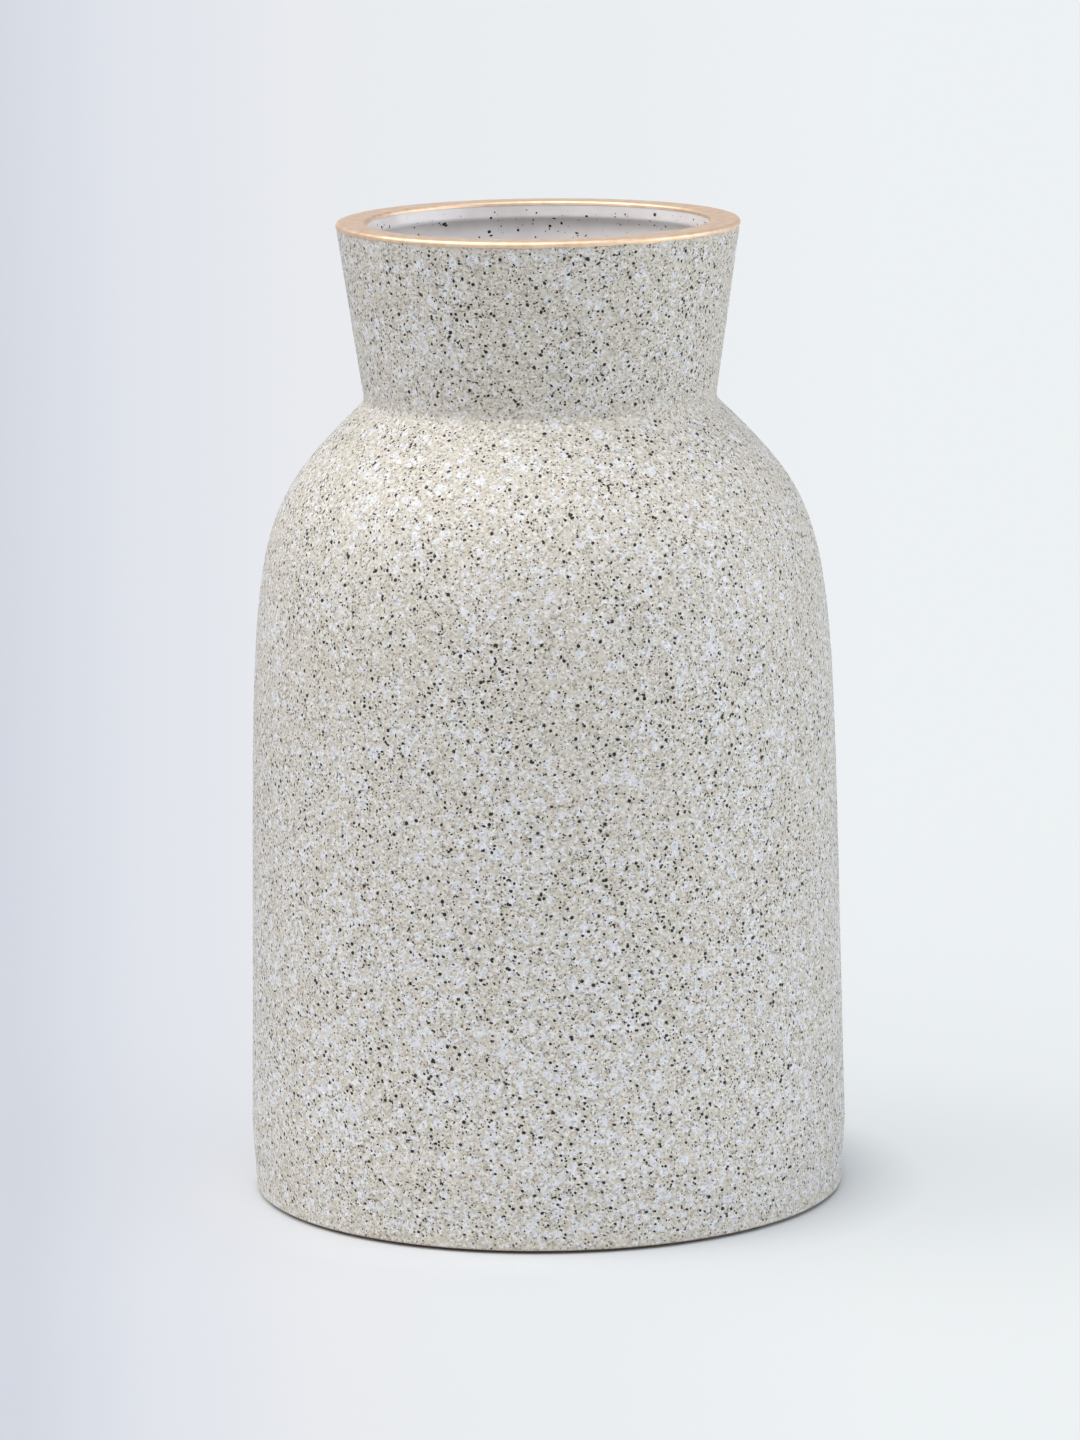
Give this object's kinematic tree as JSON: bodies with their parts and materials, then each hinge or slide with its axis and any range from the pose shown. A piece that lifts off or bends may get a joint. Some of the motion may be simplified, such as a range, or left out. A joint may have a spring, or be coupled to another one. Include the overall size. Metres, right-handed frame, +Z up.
{
  "type": "vase",
  "caption": "Straight-sided stoneware vase with a domed shoulder, a flared collar, a gilt lip, a speckled satin glaze outside and a white gloss glaze inside.",
  "frame": {"origin": "on the table, at the centre of the foot", "axes": "+Z up along the axis of the vase; -Y faces the viewer of the front view; +X to that viewer's right"},
  "size_m": [0.1534, 0.1534, 0.25],
  "materials": {
    "stoneware": "bare fired stoneware, buff, dry and slightly gritty",
    "slip": "fired joining slip, a little darker than the clay",
    "speckled_glaze": "satin-matt oatmeal glaze with bluish white flecks and black iron specks",
    "white_glaze": "glossy white liner glaze with a few dark specks",
    "gold_lustre": "satin gold lustre, brushed on and fired",
    "felt": "thin pressed felt, dark grey"
  },
  "bodies": {
    "root": {"floor_slab": "stoneware", "floor_slip_joint": "slip", "body_wall": "stoneware", "neck_slip_joint": "slip", "neck_collar": "stoneware", "outer_glaze": "speckled_glaze", "inner_glaze": "white_glaze", "rim_gilding": "gold_lustre", "foot_pad_1": "felt", "foot_pad_2": "felt", "foot_pad_3": "felt", "foot_pad_4": "felt"}
  },
  "joints": []
}
